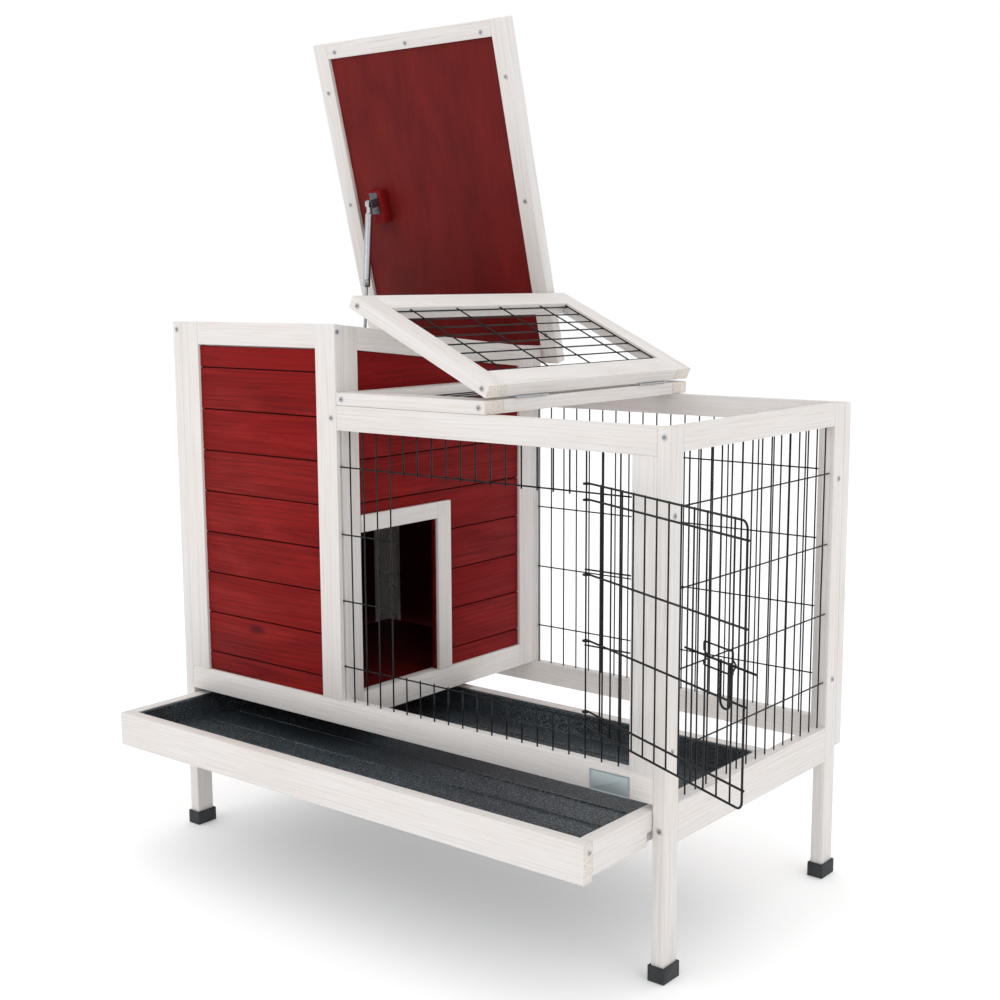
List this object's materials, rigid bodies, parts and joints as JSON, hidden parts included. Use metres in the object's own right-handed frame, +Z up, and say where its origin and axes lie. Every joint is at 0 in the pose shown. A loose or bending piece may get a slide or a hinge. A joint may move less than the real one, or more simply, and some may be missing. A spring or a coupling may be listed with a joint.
{
  "type": "rabbit hutch",
  "caption": "Raised timber rabbit hutch: boarded house with a hinged roof, wire run with folding lid and wire door, and a pull-out tray.",
  "frame": {"origin": "middle of the underside of the front left foot, at the house end", "axes": "+X along the front from the house to the run, +Y to the back, +Z up"},
  "size_m": [1.1273, 0.6435, 1.2591],
  "materials": {
    "white_wood": "thin white wash, matt",
    "red_wood": "dark red stain, matt",
    "red_plywood": "dark red stain on plywood",
    "black_wire": "black coated wire",
    "rubber": "matt",
    "tray_plastic": "pebbled",
    "zinc": "bright zinc",
    "strut_steel": "dark plated",
    "plate_metal": "satin"
  },
  "bodies": {
    "hutch": {"front_left_post": "white_wood", "rear_left_post": "white_wood", "front_right_post": "white_wood", "rear_right_post": "white_wood", "front_left_foot": "rubber", "rear_left_foot": "rubber", "front_right_foot": "rubber", "rear_right_foot": "rubber", "left_top_rail": "white_wood", "left_bottom_rail": "white_wood", "left_boards": "red_wood", "front_bottom_rail": "white_wood", "front_left_stile": "white_wood", "house_top_rail": "white_wood", "front_mid_stile": "white_wood", "run_top_rail": "white_wood", "front_right_stile": "white_wood", "front_boards": "red_wood", "front_mesh": "black_wire", "back_frame": "white_wood", "back_boards": "red_wood", "back_mesh": "black_wire", "divider_front_stile": "white_wood", "divider_rear_stile": "white_wood", "divider_top_rail": "white_wood", "divider_sill": "white_wood", "divider_boards": "red_wood", "doorway_trim": "white_wood", "house_floor": "red_plywood", "right_top_rail": "white_wood", "right_bottom_rail": "white_wood", "right_mesh": "black_wire", "fixed_lid_frame": "white_wood", "fixed_lid_mesh": "black_wire", "lid_hinge_front": "zinc", "lid_hinge_rear": "zinc", "roof_hinge_left": "zinc", "roof_hinge_right": "zinc", "strut_anchor": "strut_steel", "runner_left": "white_wood", "runner_right": "white_wood", "blank_plate": "plate_metal"},
    "roof": {"roof_left_stile": "white_wood", "roof_right_stile": "white_wood", "roof_front_rail": "white_wood", "roof_rear_rail": "white_wood", "roof_panel": "red_plywood", "strut_block": "red_wood", "strut_bracket": "strut_steel"},
    "strut_cylinder": {"strut_cylinder": "zinc"},
    "strut_rod": {"strut_rod": "zinc"},
    "folding_lid": {"folding_lid_frame": "white_wood", "folding_lid_mesh": "black_wire"},
    "door": {"wire_door": "black_wire"},
    "bolt": {"door_bolt": "black_wire"},
    "drawer": {"drawer_front": "white_wood", "drawer_back": "white_wood", "drawer_left_side": "white_wood", "drawer_right_side": "white_wood", "tray": "tray_plastic"}
  },
  "joints": [
    {"name": "roof_hinge", "type": "hinge", "parent": "hutch", "child": "roof", "pos_m": [0.1635, 0.458, 0.7552], "axis": [1, 0, 0], "range_deg": [0, 69.47]},
    {"name": "strut_pivot", "type": "hinge", "parent": "roof", "child": "strut_cylinder", "pos_m": [0.041, 0.37223, 0.99259], "axis": [1, 0, 0], "range_deg": [0, 20.9]},
    {"name": "strut_slide", "type": "slide", "parent": "strut_cylinder", "child": "strut_rod", "axis": [0, 0.079, 0.9969], "range_m": [0, 0.0985]},
    {"name": "lid_hinge", "type": "hinge", "parent": "hutch", "child": "folding_lid", "pos_m": [0.612, 0.228, 0.7108], "axis": [0, 1, 0], "range_deg": [0, 154.7]},
    {"name": "door_hinge", "type": "hinge", "parent": "hutch", "child": "door", "pos_m": [0.7668, -0.0085, 0.459], "axis": [0, 0, -1], "range_deg": [-6, 155.2]},
    {"name": "bolt_slide", "type": "slide", "parent": "door", "child": "bolt", "axis": [-0.9078, 0.4195, 0], "range_m": [0, 0.022]},
    {"name": "drawer_slide", "type": "slide", "parent": "hutch", "child": "drawer", "axis": [0, 1, 0], "range_m": [-0.13, 0.143]}
  ],
  "couplings": [
    {"joint": "strut_pivot", "follows": "roof_hinge", "ratio": 0.30047},
    {"joint": "strut_slide", "follows": "roof_hinge", "m_per_rad": 0.081169}
  ]
}
